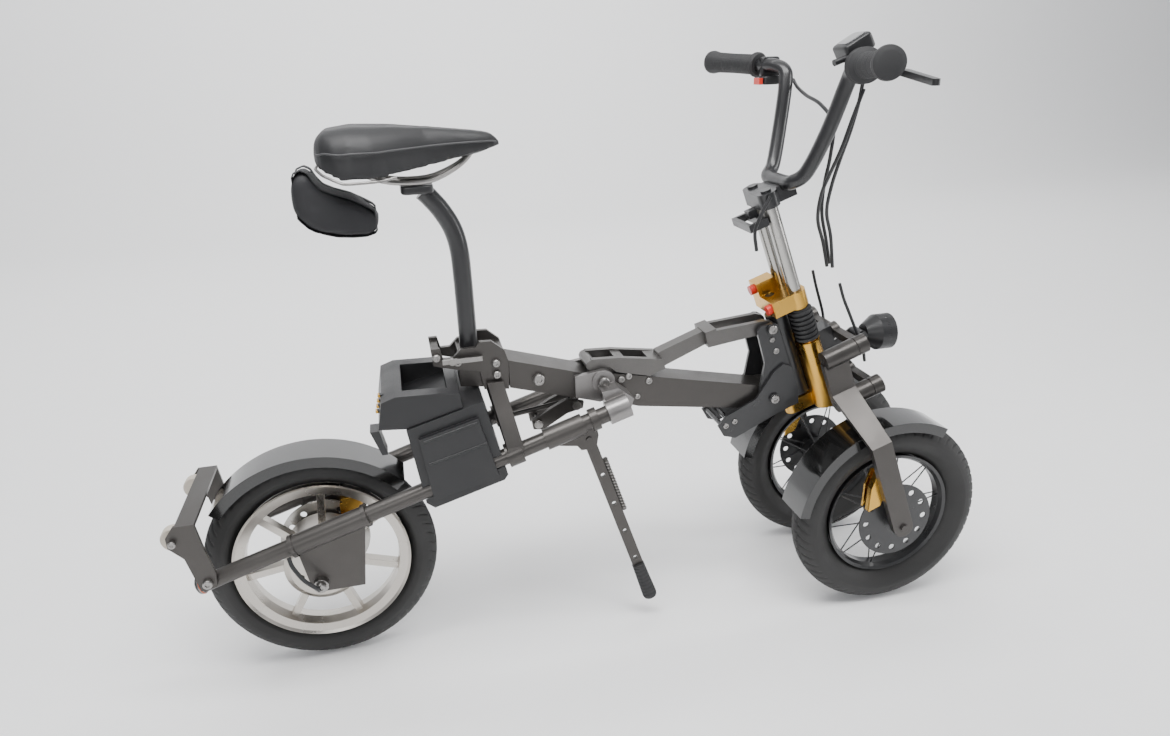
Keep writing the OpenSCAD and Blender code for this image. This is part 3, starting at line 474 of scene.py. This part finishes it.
bag_grid = np.stack([back_on + 0 * turn, (half_wide - 2) * squared(np.cos(turn), BOXY),
                     middle + (half_high + crease - 1) * squared(np.sin(turn), BOXY)], -1)
bag = skin("saddle_pouch", [mm(bag_grid)], nylon, "seat", replaces=("saddle_bag",))
puffed(bag, 0.0045, 0.002)


def strap(y, low_x, high_x, width, lift):
    """A closed webbing band standing square to Y: the pouch's outline from low_x to high_x, pushed
    out by lift, with a flat rounded section of the given width."""
    xs = np.linspace(low_x, high_x, 40)
    upper = np.stack([xs, np.interp(xs, bag_x, bag_top) + lift], -1)
    lower = np.stack([xs[::-1], np.interp(xs[::-1], bag_x, bag_low) - lift], -1)
    loop = np.vstack([upper, lower])
    d = np.roll(loop, -1, 0) - np.roll(loop, 1, 0)
    d /= np.linalg.norm(d, axis=1, keepdims=True)
    out = np.stack([-d[:, 1], d[:, 0]], -1)
    b = np.linspace(0, 2 * np.pi, 16, endpoint=False)
    flat_y = width / 2 * squared(np.cos(b), 0.4)
    flat_n = 0.9 * squared(np.sin(b), 0.6)
    ring = np.stack([loop[:, None, 0] + out[:, None, 0] * flat_n, y + 0 * loop[:, None, 0] + flat_y,
                     loop[:, None, 1] + out[:, None, 1] * flat_n], -1)
    return mm(ring)


skin("pouch_straps", [strap(-24, 44, 144, 16, 0.6), strap(24, 44, 144, 16, 0.6)], webbing,
               "seat", loop=True)

# ---------------------------------------------------------------- seatpost
# One bent steel tube, black coated, with a cast clamp head that carries the saddle's rails.
def pebble(centre, half, power=0.3, n=36, tilt=0.0):
    """A rounded box: a sphere's two angles with their sines and cosines raised to a small power,
    scaled to the half sizes and tilted about Y."""
    a = np.linspace(-np.pi / 2 + 0.02, np.pi / 2 - 0.02, n)[:, None]
    b = np.linspace(-np.pi, np.pi, 2 * n, endpoint=False)[None]
    p = np.stack([squared(np.cos(a), power) * squared(np.cos(b), power) * half[0],
                  squared(np.cos(a), power) * squared(np.sin(b), power) * half[1],
                  squared(np.sin(a), power) * half[2] * np.ones_like(b)], -1)
    ct, st = np.cos(tilt), np.sin(tilt)
    p = np.stack([p[..., 0] * ct + p[..., 2] * st, p[..., 1], -p[..., 0] * st + p[..., 2] * ct], -1)
    return p + np.asarray(centre)


post = [[255, 0, 466], [255, 0, 520], [255, 0, 600], [253.5, 0, 642], [247, 0, 672], [234, 0, 698],
        [220, 0, 717], [211, 0, 727]]
skin("seatpost_tube", [along(through(mm(post), 8), 0.0136, 40),
                       pebble(mm([203, 0, 732]), (0.0225, 0.0255, 0.0068), power=0.35)],
     black_coat, "seat", replaces=("seatpost",))

# ---------------------------------------------------------------- bars and stem
# A black painted steel bar, and two fluted aluminium stem tubes.
bar_points = [[747.4, 0, 705.2], [747.4, 22, 705.2], [749, 42, 708], [764, 56, 724],
              [782, 76, 780], [796, 92, 840], [798, 102, 860], [790, 122, 868],
              [780, 156, 869.5], [767, 200, 871.5], [746, 272, 874.7]]
both = [[p[0], -p[1], p[2]] for p in bar_points[:0:-1]] + bar_points
skin("bar_tube", [along(through(mm(both), 8), 0.011, 32)], black_coat, "stem",
     replaces=("handlebar",))
paint(finish("stem_alloy", (0.42, 0.41, 0.39), 0.24, metal=1.0, grain=900, bump=0.12),
      "stem_tubes")
rubber = finish("grip_rubber", (0.02, 0.02, 0.021), 0.66, spread=0.3, grain=1300, bump=0.5)
paint(rubber, "grip_left", "throttle_grip", "bellows")
paint(finish("red_plastic", (0.62, 0.03, 0.015), 0.3, spread=0.1, grain=900, bump=0.1),
      "release_buttons", "switch_button")
paint(finish("cream_wheel", (0.5, 0.45, 0.38), 0.5, spread=0.15, grain=900),
      "trolley_wheel_right", "trolley_wheel_left")

# ---------------------------------------------------------------- grips
# Soft rubber grips with fine rings, flared at their outer ends; the right one twists.
# Along the grip: the plain end of the bar side, the collar, the hand's stretch and the flare.
plain_at = [0.22, 0.24, 0.27, 0.28, 0.6, 0.85, 0.9, 0.95, 0.985, 1.0]
plain_r = [0.0165, 0.019, 0.019, 0.0155, 0.0152, 0.016, 0.0175, 0.019, 0.0185, 0.012]
twist_at = [0.22, 0.23, 0.36, 0.38, 0.6, 0.85, 0.9, 0.95, 0.985, 1.0]
twist_r = [0.019, 0.0225, 0.022, 0.016, 0.0155, 0.0165, 0.0185, 0.0205, 0.0195, 0.013]
for label, side, body, node, at, radius in (
        ("left", 1, "stem", "grip_left", plain_at, plain_r),
        ("right", -1, "throttle", "throttle_grip", twist_at, twist_r)):
    start, stop = mm([790, side * 122, 868]), mm([744, side * 279, 875])
    part = np.linspace(0.22, 1.0, 150)
    ridge = 0.0005 * (np.sin(part * 2 * np.pi * 46) > 0.2) * (part < 0.86)
    sleeve = along(start + part[:, None] * (stop - start), np.interp(part, at, radius) + ridge, 48)
    skin("grip_" + label + "_sleeve", [sleeve], rubber, body, replaces=(node,),
         smooth=25)

# ---------------------------------------------------------------- bar housings
# Moulded boxes on the bar: the speed display with its window, and the lamp and horn switches.
housing = finish("housing_abs", (0.013, 0.013, 0.014), 0.35, grain=1700, bump=0.3)
skin("bar_boxes", [pebble(mm([782, -130, 893]), (0.021, 0.020, 0.0115), tilt=-0.5),
                   pebble(mm([785.9, 131, 846]), (0.0140, 0.0125, 0.0068)),
                   pebble(mm([790, -141, 866]), (0.016, 0.007, 0.016)),
                   pebble(mm([790, 141, 866]), (0.016, 0.007, 0.016))],
     housing, "stem", replaces=("bar_controls",))
skin("display_window", [pebble(mm([777, -130, 903]), (0.015, 0.015, 0.0012), tilt=-0.5)],
     finish("display_glass", (0.02, 0.022, 0.024), 0.06, grain=300, bump=0.02, coat=1.0), "stem")
skin("thumb_stub", [along(mm([[780, -146, 880], [758, -147, 878], [745, -148, 874]]), 0.0042)],
     housing, "stem")

# ---------------------------------------------------------------- kickstand
# Round wire spring beside the leg, and a rubber foot with rings.
pivot, foot = np.array([419.0, 346.0]), np.array([516.0, 38.0])
run = (foot - pivot) / np.linalg.norm(foot - pivot)
t = np.linspace(0, 1, 560)
away = np.array([run[1], -run[0]]) * -1
middle = pivot + run * 47 + t[:, None] * run * 96 + away * 13
spin = 2 * np.pi * 17 * t
wire = np.stack([middle[:, 0] + 3.4 * np.cos(spin) * away[0], -62 + 3.4 * np.sin(spin),
                 middle[:, 1] + 3.4 * np.cos(spin) * away[1]], -1)
skin("stand_spring", [along(mm(wire), 0.0007, 8)], steel, "kickstand")
long = np.linalg.norm(foot - pivot)
h = np.linspace(long - 70, long - 0.4, 120)
ribs = 9.6 + (h - long + 70) / 70 * 2.2 + 0.9 * (np.sin(h * 2 * np.pi / 7) > 0) - 0.4
ribs[[0, -1]] -= 2
line = np.stack([pivot[0] + run[0] * h, np.full_like(h, -62), pivot[1] + run[1] * h], -1)
skin("stand_foot", [along(mm(line), ribs / 1000, 40)], rubber, "kickstand",
     smooth=25)

# ---------------------------------------------------------------- headlamp
# A black bowl with fins and a domed lens, whose pale bluish grey is a painted reflection standing
# in for the clear lens and the reflector behind it.
LAMP_Z = 440.0


def turned_lamp(stations, radii):
    """A profile turned about the lamp's own axis: a ring of each radius at each station of X."""
    x = np.array(stations)
    return along(mm(np.stack([x, 0 * x, LAMP_Z + 0 * x], -1)), np.array(radii) / 1000, 64)


bowl = turned_lamp([934, 938, 938.5, 944, 944.5, 950, 950.5, 956, 960.5, 961.0],
                   [27, 30, 28.6, 28.6, 30, 30, 28.6, 29.4, 29.4, 26.0])
dome = turned_lamp([958.0, 961.2, 963, 964.5, 965.2], [25.5, 25.3, 21, 13, 1.0])
# The lens colour is painted reflection: an opaque pale bluish grey that stands in for the clear
# lens, the reflector behind it and the bright studio it mirrors.
lens_painted_reflection = finish("lamp_lens", (0.75, 0.77, 0.8), 0.08, grain=120, bump=0.25, depth=0.0008, coat=1.0)
skin("lamp_bowl", [bowl], gloss, "lamp", smooth=30)
skin("lamp_lens", [dome], lens_painted_reflection, "lamp", smooth=30)

# ---------------------------------------------------------------- rail ends
# Black plastic end plugs with an orange sealing ring, pressed into the rails' rear ends.
RAIL_SLOPE, RAIL_Y, RAIL_Z = math.radians(16.9), 75, 252


def rail_end(side, stations, radii):
    """A profile turned about a rail: a ring of each radius at each station along that rail."""
    run = np.array(stations)
    spot = np.stack([run * np.cos(RAIL_SLOPE), np.full_like(run, side * RAIL_Y),
                     RAIL_Z + run * np.sin(RAIL_SLOPE)], -1)
    return along(mm(spot), np.array(radii) / 1000, 40)


ring_skin = finish("orange_ring", (0.55, 0.09, 0.02), 0.4, grain=900, bump=0.2)
for label, side in (("right", -1), ("left", 1)):
    plug = rail_end(side, [-171.9, -172.6, -174.6, -176.5, -177.4], [13.4, 13.6, 12.4, 9.0, 1.0])
    skin("rail_plug_" + label, [plug], housing, "rear_frame", smooth=30)
    ring = rail_end(side, [-170.2, -170.0, -168.4, -168.2], [13.4, 14.2, 14.2, 13.4])
    skin("rail_ring_" + label, [ring], ring_skin, "rear_frame")

# ---------------------------------------------------------------- socket screws
# Button-head screws with a hexagon socket, turned and plated.
def screw(x, z, y, out, r, high):
    """Rings about Y: a domed head of radius r and height high, then a six-sided socket cut in.
    The socket's radius is a hexagon's: its flat over the cosine of the angle to that flat."""
    a = np.linspace(0, 2 * np.pi, 48, endpoint=False)
    hexagon = 0.5 * r * np.cos(np.pi / 6) / np.cos((a % (np.pi / 3)) - np.pi / 6)
    radii = np.stack([np.full(48, r * 0.97), np.full(48, r), np.full(48, r * 0.97),
                      np.full(48, r * 0.8), hexagon, hexagon * 0.96, hexagon * 0.1])
    lift = np.array([0.0, 0.1, 0.6, 1.0, 1.02, 0.35, 0.3])[:, None] * high
    p = np.stack([x + radii * np.cos(a), y + out * (lift + 0 * a), z + radii * np.sin(a)], -1)
    return mm(p)


def both_cheeks(rows):
    """The same screws on the near and the far side; a row is x, z, y, radius and height."""
    return [screw(x, z, side * y, side, r, high) for side in (-1, 1) for x, z, y, r, high in rows]


heads = both_cheeks([
    (452, 426, 44, 8.5, 3), (353, 439, 33.1, 9, 3), (204, 492, 36.1, 6, 2.5),
    (234, 482, 36.1, 6, 2.5), (290, 474, 36.1, 6, 2.5), (290, 456, 36.1, 6, 2.5),
    (-149, 214, 96.7, 7, 2.5), (-182, 286, 98.1, 5.5, 2), (0, 175, 92.1, 7.5, 2.5)])
for i in range(6):
    hub_turn = math.pi * i / 3 + 0.3
    heads.append(screw(34 * math.cos(hub_turn), 175 + 34 * math.sin(hub_turn), -41.2, -1, 4, 1.8))
skin("rear_screws", heads, steel, "rear_frame", smooth=30)
heads = both_cheeks([
    (484, 420, 25.1, 5.5, 2.2), (496, 424, 25.1, 5.5, 2.2), (529, 412, 25.1, 5.5, 2.2),
    (510, 388, 25.1, 4.5, 2), (655, 322, 39.1, 5, 2), (670, 328, 39.1, 5, 2),
    (738, 360, 43.1, 7.5, 2.5), (731, 478, 38.1, 7.5, 2.5), (732, 460, 34.1, 4.5, 2),
    (740, 440, 34.1, 5, 2)])
skin("front_screws", heads, steel, "front_frame", smooth=30)
